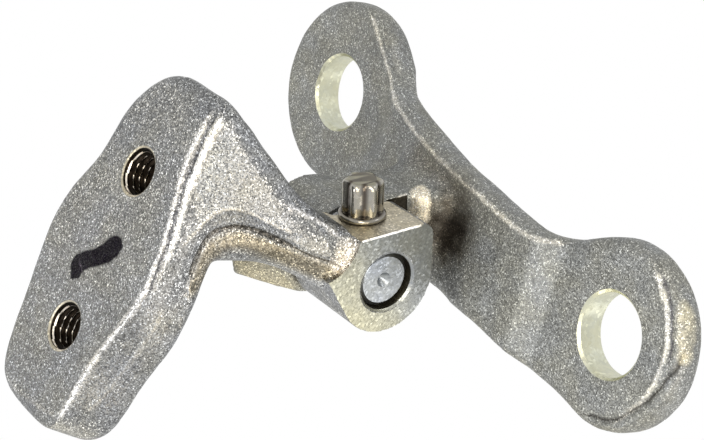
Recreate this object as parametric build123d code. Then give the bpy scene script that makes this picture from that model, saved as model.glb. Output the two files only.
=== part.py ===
# Car door hinge: two forged leaves that turn about one pin.
# Units are millimetres. +Z runs up along the hinge pin, the pillar face is y = 0 and faces +Y.
# The origin is the middle of the two pillar holes, on the pillar face.
import os
from math import cos, radians, sin
from build123d import *

# Pillar leaf: bolt tabs and strap
PILLAR_HOLE_D = 13.5
PILLAR_HOLE_X = 5.8        # each hole's distance from the middle, across the pin
PILLAR_HOLE_Z = 40.3       # each hole's distance from the middle, along the pin
HOLE_EDGE = 0.5            # broken edge at the plain holes
LOWER_TAB_R = 16.8
UPPER_TAB_R = 15.4
TAB_T = 5.5
STRAP_T = 5.5
STRAP_RISE = 2.0           # the strap stands this far off the pillar
JOGGLE_UPPER_Z = 23.5      # middle of the step between strap and upper tab
JOGGLE_LOWER_Z = -25.0
JOGGLE_LENGTH = 5.0
JOGGLE_R = 3.0
LEAF_EDGE_R = 1.8
# strap edges as (x, z) points; the inner one runs up, the outer one runs down
STRAP_INNER = [(-13.4, -24.0), (-9.3, -14.2), (-6.5, -4.0), (-4.7, 7.0), (-3.4, 16.0), (-3.8, 24.0),
               (-6.4, 30.2)]
STRAP_OUTER = [(19.3, 28.0), (17.4, 15.0), (16.0, 1.0), (14.5, -14.0), (12.4, -27.0)]
LOWER_TAB_SWEEP = (12, -228)   # round of each tab, in degrees
UPPER_TAB_SWEEP = (196, -22)
TAB_POINTS = 13

# Hinge axis and eyes, all about the pin
AXIS_X = 11.7
AXIS_Y = -23.0
EYE_ANGLE = 105.4          # direction of the door eye's flank side, from +X
EYE_R = 9.0
EYE_TOP_Z = 6.6            # milled end face of the door eye
EYE_LENGTH = 15.0
EYE_BLOCK_LENGTH = 10.4    # square-shouldered part of the door eye
EYE_CORNER_R = 2.6
BORE_CHAMFER = 0.7
EYE_TOP_LEFT = -5.6        # where the flat top ends, in the flank direction
EYE_BEAK = (-11.7, 3.0)    # left point of the eye, as (flank, top)
EYE_BEAK_VIA = (-7.9, 4.9)
EYE_ROUND_END = 213        # where the round underside ends, in degrees
EYE_SHOULDER = 12.0        # past this length the eye is turned down, under the lug's lip
EYE_RELIEF_R = 7.6
RELIEF_TURN = 55           # middle of the turned-down side, in degrees from the flank
RELIEF_PAST = 1.0          # it runs this far past the pin's middle
BODY_GAP = 0.3             # between round faces of the two leaves
PIN_D = 10.0
PIN_RECESS = 1.2
PIN_CHAMFER = 0.9
PIN_END_CHAMFER = 1.5
PIN_CENTRE_D = 2.6
PIN_CENTRE_TIP_D = 0.4
PIN_CENTRE_DEPTH = 1.3
PIN_BELOW = 1.0            # pin shown below the pillar eye
PIN_GROOVE_DEPTH = 0.8
PIN_GROOVE_HALF = 3.4
BUSH_WALL = 1.0
BUSH_FLANGE_R = 7.5
BUSH_FLANGE_T = 1.0
RUN_CLEARANCE = 0.03       # pin to bush, on the radius
AXIAL_CLEARANCE = 0.2      # door eye to bush flange
PILLAR_EYE_LENGTH = 9.3
PILLAR_EYE_R = 9.3

# Lug between the pillar eye and the strap, in eye directions (flank, top)
LUG_HALF = 9.0
LUG_FOOT = 6.0             # the lug's low side draws in to this at the strap
LUG_REACH = 19.0
LUG_POCKET_R = 9.3         # room for the door eye
LIP_FROM = 5.0             # the lip over the joint starts this far above the pin
LUG_FRONT_DROP = 10.8      # lug's milled front face below the door eye's top face
LUG_BACK_DROP = 22.2
LUG_BLEND_R = 5.2          # blend of the lug's top into the strap
LUG_BLEND_LENGTH = 4.2
GUSSET_START = 12.2
GUSSET_FOOT = 15.5
GUSSET_RISE = 1.6
GUSSET_FOOT_RISE = 3.6
GUSSET_LOW = -6.5
GUSSET_HIGH = 9.0
# nose on the pillar eye as (flank, top) points, cut to a cone
NOSE = [(-3.0, -8.2), (-14.1, -5.9), (-14.6, -2.3), (-8.0, 3.5), (0.0, 3.5)]
NOSE_LOW_R = 15.5
NOSE_TOP_R = 9.8

# Door leaf: plate
DOOR_FACE_ANGLE = 150.0    # direction the door face looks, from the flank direction
DOOR_FACE_DIST = 35.1      # door face from the pin axis
DOOR_T = 10.0
DOOR_HOLE_HIGH = -1.3      # tapped holes along the plate, from the foot of the axis
DOOR_HOLE_PITCH = 28.4
DOOR_HOLE_Z = -21.0
M8_TAP_D = 6.8
M8_CHAMFER_D = 8.6
DOOR_EDGE_R = 2.2
DOOR_BEVEL_FROM = (32.6, 16.6)   # slope behind the plate's top edge, as (distance, along) points
DOOR_BEVEL_TO = (24.0, 11.8)
DOOR_LEAN_DEPTH = 7.0      # the plate's near side leans over this depth, behind the face
# plate outline as (along, z, lean) points; lean is how far the face edge draws in
DOOR_OUTLINE = [(15.7, -20.0, 0), (14.9, -25.4, 0), (11.1, -29.8, 0), (4.8, -32.7, 0), (-3.2, -34.1, 0),
                (-9.4, -36.9, 0), (-15.5, -38.3, 0), (-21.0, -38.0, 0), (-30.0, -36.2, 0),
                (-38.8, -34.6, 0), (-43.6, -32.2, 0), (-45.6, -26.8, 0), (-46.0, -19.0, 0.4),
                (-45.4, -13.2, 2.0), (-42.4, -9.4, 2.6), (-33.0, -6.8, 3.7), (-22.0, -3.9, 3.0),
                (-12.0, -4.4, 1.8), (-3.0, -4.9, 3.6), (6.0, -6.8, 3.9), (12.2, -7.8, 2.7),
                (15.3, -12.4, 1.0)]

# Arm: rounded sections between eye and plate, each (distance, low, high, bottom z, top z, corner radius)
ARM_SECTIONS = [(5.0, -5.5, 6.0, -8.2, 6.2, 3.0), (10.0, -5.3, 5.4, -8.3, 5.2, 4.2),
                (14.0, -5.2, 5.9, -8.4, 3.3, 4.8), (18.0, -5.6, 7.4, -10.5, 1.0, 5.0),
                (22.0, -7.2, 9.8, -15.0, -1.4, 5.0), (26.0, -9.5, 12.4, -19.0, -3.7, 5.0),
                (30.0, -12.0, 15.0, -22.0, -6.4, 4.5), (34.0, -14.0, 16.0, -25.0, -9.6, 4.0)]
ARM_SWEEP_R = 16.3         # the arm stays outside this, below the door eye

# Lock screw across the pin
SCREW_DROP = 8.0           # screw axis below the eye's top face
SCREW_D = 6.0
COLLAR_R = 4.05
COLLAR_T = 0.9
HEAD_H = 6.7
HEAD_LOBE_R = 3.75
HEAD_ROOT_R = 3.05
HEAD_LOBES = 6
HEAD_CHAMFER = 0.8
TIP_GAP = 0.15             # screw tip to the floor of the pin's groove

# Tools run past the faces they cut
OVERCUT = 1.0
DEEP_CUT = 60.0
TAP_DRILL_LENGTH = 25.0
NEAR = 0.01

# How turned bodies sit on their plane
STANDING = (Align.CENTER, Align.CENTER, Align.MIN)
HANGING = (Align.CENTER, Align.CENTER, Align.MAX)

eye_low_z = EYE_TOP_Z - EYE_LENGTH
shoulder_z = EYE_TOP_Z - EYE_SHOULDER
lip_top_z = shoulder_z - AXIAL_CLEARANCE
flange_top_z = eye_low_z - AXIAL_CLEARANCE
barrel_top_z = flange_top_z - BUSH_FLANGE_T
barrel_low_z = barrel_top_z - PILLAR_EYE_LENGTH
lug_front_z = EYE_TOP_Z - LUG_FRONT_DROP
lug_back_z = EYE_TOP_Z - LUG_BACK_DROP
pin_r = PIN_D / 2
bush_in_r = pin_r + RUN_CLEARANCE
bush_out_r = bush_in_r + BUSH_WALL
to_row = Location((AXIS_X, AXIS_Y, 0), (0, 0, EYE_ANGLE))


def upright(radius, low, high):
    """Cylinder about the pin axis, in eye directions."""
    return Pos(0, 0, low) * Cylinder(radius, high - low, align=STANDING)


def prism(points, low, high):
    """Straight-sided block standing along the pin, in eye directions."""
    face = make_face(Polyline(*points, close=True))
    return extrude(Pos(0, 0, low) * face, high - low)


# Pillar leaf outline and stepped side profile
lower_hole = (-PILLAR_HOLE_X, -PILLAR_HOLE_Z)
upper_hole = (PILLAR_HOLE_X, PILLAR_HOLE_Z)
leaf_plane = Plane(origin=(0, 0, 0), x_dir=(1, 0, 0), z_dir=(0, -1, 0))


def tab_arc(centre, radius, sweep):
    """Points round a bolt tab."""
    start, stop = sweep
    turns = [radians(start + (stop - start) * k / (TAB_POINTS - 1)) for k in range(TAB_POINTS)]
    return [(centre[0] + radius * cos(t), centre[1] + radius * sin(t)) for t in turns]


rim = tab_arc(lower_hole, LOWER_TAB_R, LOWER_TAB_SWEEP) + STRAP_INNER
rim += tab_arc(upper_hole, UPPER_TAB_R, UPPER_TAB_SWEEP) + STRAP_OUTER
outline = make_face(Spline(*rim, periodic=True))
reach = LOWER_TAB_R + UPPER_TAB_R
slab = extrude(leaf_plane * outline, reach)
half = JOGGLE_LENGTH / 2
far_low = -PILLAR_HOLE_Z - reach
far_high = PILLAR_HOLE_Z + reach
strap_front = -STRAP_RISE - STRAP_T
steps = [(0, far_low), (0, JOGGLE_LOWER_Z - half), (-STRAP_RISE, JOGGLE_LOWER_Z + half),
         (-STRAP_RISE, JOGGLE_UPPER_Z - half), (0, JOGGLE_UPPER_Z + half), (0, far_high),
         (-TAB_T, far_high), (-TAB_T, JOGGLE_UPPER_Z + half), (strap_front, JOGGLE_UPPER_Z - half),
         (strap_front, JOGGLE_LOWER_Z + half), (-TAB_T, JOGGLE_LOWER_Z - half), (-TAB_T, far_low)]
step_face = make_face(Polyline(*steps, close=True))
step_face = fillet([v for v in step_face.vertices() if abs(v.Y) < PILLAR_HOLE_Z], JOGGLE_R)
side = extrude(Plane.YZ * step_face, reach * 2, both=True)
leaf = slab & side
rims = [e for e in leaf.edges() if abs(e.tangent_at(0.5).X) < 0.995 and abs(e.tangent_at(0.5).Y) < 0.9]
leaf = fillet(rims, LEAF_EDGE_R)

# Lug, pillar eye and nose, in eye directions
flank_dir = radians(EYE_ANGLE)
root = ((strap_front - AXIS_Y - LUG_HALF * cos(flank_dir)) / sin(flank_dir), LUG_HALF)
blend_end = (root[0] - LUG_BLEND_LENGTH * cos(flank_dir), root[1] + LUG_BLEND_LENGTH * sin(flank_dir))
lug_points = [(0, -LUG_HALF), (EYE_R, -LUG_HALF), (LUG_REACH, -LUG_FOOT),
              (LUG_REACH + STRAP_T, LUG_HALF), blend_end, root, (0, LUG_HALF)]
lug_face = make_face(Polyline(*lug_points, close=True))
lug_face = fillet(lug_face.vertices().sort_by_distance((root[0], root[1], 0))[0], LUG_BLEND_R)
lug = extrude(Pos(0, 0, lug_back_z) * lug_face, lug_front_z - lug_back_z)
lug += upright(PILLAR_EYE_R, barrel_low_z, barrel_top_z)
cone = Pos(0, 0, barrel_low_z) * Cone(NOSE_LOW_R, NOSE_TOP_R, PILLAR_EYE_LENGTH,
                                      align=STANDING)
lug += prism(NOSE, barrel_low_z, barrel_top_z) & cone
lug -= upright(LUG_POCKET_R, barrel_top_z, lug_front_z + OVERCUT)
lip = upright(PILLAR_EYE_R, barrel_top_z, lip_top_z)
lip -= upright(EYE_RELIEF_R + BODY_GAP, barrel_top_z, lip_top_z)
above = Box(DEEP_CUT, DEEP_CUT, DEEP_CUT, align=(Align.CENTER, Align.MIN, Align.CENTER))
lug += lip & (Pos(0, LIP_FROM, 0) * above)
gusset = [(GUSSET_START, lug_front_z - OVERCUT), (GUSSET_START, lug_front_z + GUSSET_RISE),
          (GUSSET_FOOT, lug_front_z + GUSSET_FOOT_RISE), (LUG_REACH, lug_front_z + GUSSET_FOOT_RISE),
          (LUG_REACH, lug_front_z - OVERCUT)]
gusset_plane = Plane(origin=(0, GUSSET_HIGH, 0), x_dir=(1, 0, 0), z_dir=(0, -1, 0))
lug += extrude(gusset_plane * make_face(Polyline(*gusset, close=True)), GUSSET_HIGH - GUSSET_LOW)
behind = Pos(0, -STRAP_RISE, 0) * above
pillar_leaf = leaf + (to_row * lug - behind)
pillar_leaf -= to_row * upright(bush_out_r, barrel_low_z - OVERCUT, barrel_top_z + OVERCUT)
for spot in (lower_hole, upper_hole):
    drill = extrude(leaf_plane * (Pos(*spot) * Circle(PILLAR_HOLE_D / 2)), reach)
    pillar_leaf -= drill
    edge = Cone(PILLAR_HOLE_D / 2, PILLAR_HOLE_D / 2 + HOLE_EDGE, HOLE_EDGE, align=STANDING)
    pillar_leaf -= leaf_plane * Pos(spot[0], spot[1], TAB_T - HOLE_EDGE) * edge

# Door leaf, in eye directions: eye, arm and plate
away = (cos(radians(DOOR_FACE_ANGLE)), sin(radians(DOOR_FACE_ANGLE)))
along = (away[1], -away[0])


def door_plane(distance):
    """Plane parallel to the door face; its x runs along the plate and its y runs down the pin."""
    return Plane(origin=(away[0] * distance, away[1] * distance, 0), x_dir=(along[0], along[1], 0),
                 z_dir=(away[0], away[1], 0))


def on_plane(edge, distance):
    """True for an edge that lies in the plane at this distance from the pin."""
    middle = edge.center()
    return abs(middle.X * away[0] + middle.Y * away[1] - distance) < NEAR


# flat-topped eye profile; the arm leaves at its left
top_left = (EYE_TOP_LEFT, EYE_R)
low_left = (EYE_R * cos(radians(EYE_ROUND_END)), EYE_R * sin(radians(EYE_ROUND_END)))
shoulder = (EYE_R - EYE_CORNER_R, EYE_R)
flank = (EYE_R, EYE_R - EYE_CORNER_R)
corner = (EYE_R - EYE_CORNER_R * (1 - cos(radians(45))), EYE_R - EYE_CORNER_R * (1 - sin(radians(45))))
profile = Line(top_left, shoulder) + ThreePointArc(shoulder, corner, flank) + Line(flank, (EYE_R, 0))
profile += ThreePointArc((EYE_R, 0), (0, -EYE_R), low_left) + Line(low_left, EYE_BEAK)
profile += ThreePointArc(EYE_BEAK, EYE_BEAK_VIA, top_left)
block_low_z = EYE_TOP_Z - EYE_BLOCK_LENGTH
eye = extrude(Pos(0, 0, block_low_z) * make_face(profile), EYE_BLOCK_LENGTH)
eye += upright(EYE_R, eye_low_z, EYE_TOP_Z)

sections = []
for distance, low, high, z_low, z_high, radius in ARM_SECTIONS:
    patch = RectangleRounded(high - low, z_high - z_low, radius)
    sections.append(door_plane(distance) * Pos((low + high) / 2, -(z_low + z_high) / 2) * patch)
arm = loft(sections)

plate_face = make_face(Spline(*[(s, lean - z) for s, z, lean in DOOR_OUTLINE], periodic=True))
plate_body = make_face(Spline(*[(s, -z) for s, z, lean in DOOR_OUTLINE], periodic=True))
lean_end = DOOR_FACE_DIST - DOOR_LEAN_DEPTH
plate = loft([door_plane(lean_end) * plate_body, door_plane(DOOR_FACE_DIST) * plate_face])
plate += extrude(door_plane(lean_end) * plate_body, DOOR_LEAN_DEPTH - DOOR_T)
plate = fillet([e for e in plate.edges() if on_plane(e, DOOR_FACE_DIST)], DOOR_EDGE_R)
plate = fillet([e for e in plate.edges() if on_plane(e, DOOR_FACE_DIST - DOOR_T)], DOOR_EDGE_R)
bevel = [DOOR_BEVEL_FROM, DOOR_BEVEL_TO, (DOOR_BEVEL_TO[0], DEEP_CUT), (DOOR_BEVEL_FROM[0], DEEP_CUT)]
bevel = [(away[0] * d + along[0] * s, away[1] * d + along[1] * s) for d, s in bevel]
plate -= prism(bevel, -DEEP_CUT, 0)
door_leaf = plate + arm
door_leaf -= upright(ARM_SWEEP_R, eye_low_z - DEEP_CUT, eye_low_z)
door_leaf += eye
relief = upright(PILLAR_EYE_R + BODY_GAP, eye_low_z - OVERCUT, shoulder_z)
relief -= upright(EYE_RELIEF_R, eye_low_z - OVERCUT, shoulder_z)
lip_side = Box(DEEP_CUT, DEEP_CUT, DEEP_CUT, align=(Align.MIN, Align.CENTER, Align.CENTER))
door_leaf -= relief & (Rot(0, 0, RELIEF_TURN) * Pos(-RELIEF_PAST, 0, 0) * lip_side)
door_leaf -= upright(pin_r, eye_low_z - OVERCUT, EYE_TOP_Z + OVERCUT)
door_leaf -= Pos(0, 0, EYE_TOP_Z - BORE_CHAMFER) * Cone(pin_r, pin_r + BORE_CHAMFER, BORE_CHAMFER,
                                                        align=STANDING)
screw_plane = Plane(origin=(0, 0, EYE_TOP_Z - SCREW_DROP), x_dir=(1, 0, 0), z_dir=(0, 1, 0))
door_leaf -= screw_plane * Cylinder(SCREW_D / 2, EYE_R + OVERCUT, align=STANDING)
for place in (DOOR_HOLE_HIGH, DOOR_HOLE_HIGH - DOOR_HOLE_PITCH):
    spot = door_plane(DOOR_FACE_DIST) * Pos(place, -DOOR_HOLE_Z, 0)
    door_leaf -= spot * Cylinder(M8_TAP_D / 2, TAP_DRILL_LENGTH, align=HANGING)
    lead = (M8_CHAMFER_D - M8_TAP_D) / 2
    door_leaf -= spot * Cone(M8_TAP_D / 2, M8_CHAMFER_D / 2, lead, align=HANGING)
door_leaf = to_row * door_leaf

# Hinge pin, with a centre drilling and a groove for the lock screw
pin_top_z = EYE_TOP_Z - PIN_RECESS
pin_low_z = barrel_low_z - PIN_BELOW
hinge_pin = upright(pin_r, pin_low_z, pin_top_z)
hinge_pin = chamfer(hinge_pin.edges().group_by(Axis.Z)[-1], PIN_CHAMFER)
hinge_pin = chamfer(hinge_pin.edges().group_by(Axis.Z)[0], PIN_END_CHAMFER)
hinge_pin -= Pos(0, 0, pin_top_z - PIN_CENTRE_DEPTH) * Cone(
    PIN_CENTRE_TIP_D / 2, PIN_CENTRE_D / 2, PIN_CENTRE_DEPTH, align=STANDING)
groove_z = EYE_TOP_Z - SCREW_DROP
ring = upright(pin_r + OVERCUT, groove_z - PIN_GROOVE_HALF, groove_z + PIN_GROOVE_HALF)
ring -= upright(pin_r - PIN_GROOVE_DEPTH, groove_z - PIN_GROOVE_HALF, groove_z + PIN_GROOVE_HALF)
hinge_pin = to_row * (hinge_pin - ring)

# Flanged bush in the pillar eye
bush = upright(bush_out_r, barrel_low_z, barrel_top_z)
bush += upright(BUSH_FLANGE_R, barrel_top_z, flange_top_z)
bush -= upright(bush_in_r, barrel_low_z - OVERCUT, flange_top_z + OVERCUT)
bush = to_row * bush

# Lock screw: shank, collar and six-lobe head
shank_low = pin_r - PIN_GROOVE_DEPTH + TIP_GAP
screw = Pos(0, 0, shank_low) * Cylinder(SCREW_D / 2, EYE_R - shank_low, align=STANDING)
screw += Pos(0, 0, EYE_R) * Cylinder(COLLAR_R, COLLAR_T, align=STANDING)
star_points = []
for k in range(HEAD_LOBES * 4):
    turn = radians(360 * k / (HEAD_LOBES * 4))
    radius = (HEAD_LOBE_R + HEAD_ROOT_R) / 2 + (HEAD_LOBE_R - HEAD_ROOT_R) / 2 * cos(HEAD_LOBES * turn)
    star_points.append((radius * cos(turn), radius * sin(turn)))
star = make_face(Spline(*star_points, periodic=True))
head = extrude(Pos(0, 0, EYE_R) * star, HEAD_H)
top_cone = Pos(0, 0, EYE_R) * Cylinder(HEAD_LOBE_R, HEAD_H, align=STANDING)
head = head & chamfer(top_cone.edges().group_by(Axis.Z)[-1], HEAD_CHAMFER)
screw = to_row * (screw_plane * (screw + head))

nodes = {"door_leaf": door_leaf, "pillar_leaf": pillar_leaf, "hinge_pin": hinge_pin, "bush": bush,
         "lock_screw": screw}
os.makedirs("parts", exist_ok=True)
for name, solid in nodes.items():
    export_step(solid, f"parts/{name}.step")
    box = solid.bounding_box()
    print(name, "volume", round(solid.volume, 1), "solids", len(solid.solids()), "valid", solid.is_valid,
          "box", [round(v, 1) for v in (*box.min, *box.max)])
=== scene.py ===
# %% [markdown]
# A forged car door hinge, dressed over its CAD solids.
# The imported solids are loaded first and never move; every finer piece is built around them.

# %% Load the solids
from math import cos, pi, radians, sin
import bmesh
import bpy
import numpy as np
from mathutils import Matrix, Vector, noise


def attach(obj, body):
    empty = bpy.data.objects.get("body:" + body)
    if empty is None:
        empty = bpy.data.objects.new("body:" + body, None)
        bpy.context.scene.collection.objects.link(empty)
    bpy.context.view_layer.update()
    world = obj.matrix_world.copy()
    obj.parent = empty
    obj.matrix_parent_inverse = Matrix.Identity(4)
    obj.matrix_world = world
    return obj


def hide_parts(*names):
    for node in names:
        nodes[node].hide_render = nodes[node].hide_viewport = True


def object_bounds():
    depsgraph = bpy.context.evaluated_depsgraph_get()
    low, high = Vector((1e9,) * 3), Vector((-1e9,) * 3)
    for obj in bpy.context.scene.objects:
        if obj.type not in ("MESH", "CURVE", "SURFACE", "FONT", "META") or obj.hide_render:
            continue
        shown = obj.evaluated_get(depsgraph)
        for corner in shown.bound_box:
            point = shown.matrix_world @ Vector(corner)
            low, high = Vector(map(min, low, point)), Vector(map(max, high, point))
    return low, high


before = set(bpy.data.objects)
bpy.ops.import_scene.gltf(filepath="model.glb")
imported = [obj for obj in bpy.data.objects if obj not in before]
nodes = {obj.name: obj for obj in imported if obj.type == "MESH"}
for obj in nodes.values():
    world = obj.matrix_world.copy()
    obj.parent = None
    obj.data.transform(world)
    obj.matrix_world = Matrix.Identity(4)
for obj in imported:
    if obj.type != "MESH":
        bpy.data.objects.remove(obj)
cad_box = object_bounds()
MM = 0.001
print("solids", sorted(nodes))

# %% [markdown]
# The hinge has two sets of directions: the pillar's own, and those of the door eye.
# The eye is turned about the pin, so a small function takes a place on the eye to the shared frame.
# Flank is the eye's right side, top is the side that carries the lock screw.

# %% Directions of the eye and the door plate
PIN = Vector((11.7, -23.0, 0.0))
EYE_TURN = radians(105.4)
DOOR_TURN = radians(105.4 + 150.0)
FLANK = Vector((cos(EYE_TURN), sin(EYE_TURN), 0.0))
TOP = Vector((-sin(EYE_TURN), cos(EYE_TURN), 0.0))
AWAY = Vector((cos(DOOR_TURN), sin(DOOR_TURN), 0.0))
ALONG = Vector((sin(DOOR_TURN), -cos(DOOR_TURN), 0.0))
UP = Vector((0.0, 0.0, 1.0))
DOOR_FACE = 35.1
EYE_TOP_Z = 6.6
EYE_R = 9.0


def at_eye(flank, top, z):
    """A place given from the pin in the eye's directions, in metres."""
    return (PIN + FLANK * flank + TOP * top + UP * z) * MM


def at_door(distance, along, z):
    """A place given from the pin in the door plate's directions, in metres."""
    return (PIN + AWAY * distance + ALONG * along + UP * z) * MM


print("door face looks", [round(v, 3) for v in AWAY])

# %% [markdown]
# The camera stands where the photograph was taken from. Its place and axes were found from
# the ellipses of the four holes and the pin, so the whole part lines up with no shift.

# %% Camera
IMAGE_WIDTH = 704
FOCAL_PIXELS = 2074.1
CAMERA_PLACE = Vector((-94.54, -237.593, 248.704))
CAMERA_RIGHT = Vector((-0.24921, 0.78722, 0.56407))
CAMERA_UP = Vector((-0.92445, -0.01981, -0.38078))
CAMERA_BACK = Vector((-0.28858, -0.61635, 0.73269))
camera = bpy.data.objects.new("camera", bpy.data.cameras.new("camera"))
bpy.context.collection.objects.link(camera)
turn = Matrix((CAMERA_RIGHT, CAMERA_UP, CAMERA_BACK)).transposed()
camera.matrix_world = Matrix.Translation(CAMERA_PLACE * MM) @ turn.to_4x4()
camera.data.sensor_width = 36.0
camera.data.lens = 36.0 * FOCAL_PIXELS / IMAGE_WIDTH
camera.data.clip_start = 0.01
camera.data.clip_end = 20.0
bpy.context.scene.camera = camera
bpy.context.scene.view_settings.view_transform = "Standard"
print("lens", round(camera.data.lens, 1), "mm")

# %% [markdown]
# A material is a small net of nodes. One function adds a node with its settings and links,
# and one turns a colour given in sRGB into the linear numbers that light needs.


# %% Colours and nodes
def linear(code, alpha=1.0):
    """An sRGB hex colour as linear red, green, blue and alpha."""
    parts = [int(code[k:k + 2], 16) / 255 for k in (1, 3, 5)]
    return tuple(p / 12.92 if p <= 0.04045 else ((p + 0.055) / 1.055) ** 2.4 for p in parts) + (alpha,)


def add(tree, kind, inputs=None, **settings):
    """Adds a node. Inputs given as sockets are linked, others are set."""
    made = tree.nodes.new(kind)
    for name, value in settings.items():
        setattr(made, name, value)
    for name, value in (inputs or {}).items():
        socket = made.inputs[name]
        if isinstance(value, bpy.types.NodeSocket):
            tree.links.new(value, socket)
        else:
            socket.default_value = value
    return made


def new_material(name):
    """An empty material with its tree and output."""
    made = bpy.data.materials.new(name)
    made.use_nodes = True
    made.node_tree.nodes.clear()
    return made, made.node_tree, made.node_tree.nodes.new("ShaderNodeOutputMaterial")


print("white is", linear("#ffffff"))

# %% [markdown]
# The photograph shows the hinge cut out on white. The floor and the world are white to the
# camera and to reflections, so the zinc mirrors a white tent and shows its own tone.
# The floor lies well below, because the hinge hangs on its pillar bolts.

# %% Floor and world
FLOOR_DROP = 320.0
FLOOR_HALF = 6.0
floor_z = cad_box[0].z - FLOOR_DROP * MM


def white_where_seen(tree, dim):
    """White to the camera, to reflections and through glass; the dim shader to everything else."""
    path = add(tree, "ShaderNodeLightPath")
    seen = path.outputs["Is Camera Ray"]
    for ray in ("Is Glossy Ray", "Is Transmission Ray"):
        either = add(tree, "ShaderNodeMath", {0: seen, 1: path.outputs[ray]}, operation="MAXIMUM")
        seen = either.outputs[0]
    kind = "ShaderNodeBackground" if dim.bl_idname == "ShaderNodeBackground" else "ShaderNodeEmission"
    white = add(tree, kind, {"Color": linear("#ffffff"), "Strength": 1.0})
    return add(tree, "ShaderNodeMixShader", {0: seen, 1: dim.outputs[0], 2: white.outputs[0]}).outputs[0]


floor_mesh = bpy.data.meshes.new("floor")
corners = [(x * FLOOR_HALF, y * FLOOR_HALF, floor_z) for x, y in ((-1, -1), (1, -1), (1, 1), (-1, 1))]
floor_mesh.from_pydata(corners, [], [(0, 1, 2, 3)])
floor = bpy.data.objects.new("floor", floor_mesh)
bpy.context.collection.objects.link(floor)
paper_floor, tree, out = new_material("white paper floor")
paper = add(tree, "ShaderNodeBsdfDiffuse", {"Color": linear("#e6e6e6")})
tree.links.new(white_where_seen(tree, paper), out.inputs["Surface"])
floor_mesh.materials.append(paper_floor)

world = bpy.data.worlds.new("white tent")
bpy.context.scene.world = world
world.use_nodes = True
tree = world.node_tree
tree.nodes.clear()
out = tree.nodes.new("ShaderNodeOutputWorld")
room = add(tree, "ShaderNodeBackground", {"Color": linear("#ffffff"), "Strength": 0.4})
tree.links.new(white_where_seen(tree, room), out.inputs["Surface"])
print("floor at", round(floor_z / MM, 1), "mm")

# %% [markdown]
# Soft boxes stand round the tent. Each is placed where one part of the hinge mirrors it to the
# viewer: the edge box stands behind the viewer and draws the rounded edges, the top box the neck.

# %% Lamps
# each lamp: the place it lights, its direction from there, distance, side (mm), brightness, colour
LAMPS = {
    "edge box": ((3.0, -38.0, -8.0), (-0.289, -0.616, 0.733), 470.0, 200.0, 6.0, "#fffdf8"),
    "top box": ((-1.0, -47.0, -4.0), (0.04, -0.28, 0.96), 400.0, 250.0, 3.15, "#fff1da"),
    "joggle box": ((5.0, -6.0, 23.7), (0.23, -0.97, -0.03), 320.0, 120.0, 7.5, "#ffffff"),
    "nose box": ((20.0, -32.0, -13.7), (0.99, -0.11, -0.07), 300.0, 130.0, 2.6, "#fff6e0"),
    "eye card": ((11.7, -23.0, 6.6), (0.52, 0.38, 0.76), 200.0, 110.0, 2.0, "#fffaf0"),
    "rim card": ((4.0, -33.0, 3.0), (-0.79, 0.39, 0.46), 330.0, 90.0, 3.5, "#ffffff"),
    "shoulder box": ((7.0, -32.0, 5.0), (-0.68, -0.60, 0.41), 330.0, 110.0, 3.5, "#fff0d8"),
    "glint lamp": ((3.0, -30.0, -10.0), (0.12, -0.64, -0.76), 330.0, 60.0, 3.0, "#fff3d8"),
}
for name, (aim, heading, distance, side, brightness, colour) in LAMPS.items():
    lamp = bpy.data.lights.new(name, "AREA")
    lamp.shape = "SQUARE"
    lamp.size = side * MM
    lamp.energy = brightness * pi * lamp.size ** 2
    lamp.color = linear(colour)[:3]
    stand = bpy.data.objects.new(name, lamp)
    bpy.context.collection.objects.link(stand)
    heading = Vector(heading).normalized()
    stand.location = (Vector(aim) + heading * distance) * MM
    stand.rotation_euler = (-heading).to_track_quat("-Z", "Y").to_euler()
print("lamps", list(LAMPS))

# %% [markdown]
# Zinc-plated forged steel: the forging was blasted before plating, so its skin is a grain of tiny
# facets. Each facet leans its own way and mirrors another part of the tent, which gives the sparkle;
# a rare few facets are also painted far brighter, as painted glints.
# The passivation over the zinc tints it faintly, in patches. Marks on the skin are read from
# distances, in mm, that are stored on the mesh, so that a mark keeps its real width.

# %% Plated steel
PATCH_MM = 7.0
# tone of the facets for a spread of 1: range, drop, and gain and rarity of the brightest, which are
# painted glints
FACET_RANGE = 1.6
FACET_DROP = 1.15
PAINTED_GLINT_GAIN = 5.0
PAINTED_GLINT_POWER = 10.0


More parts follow.
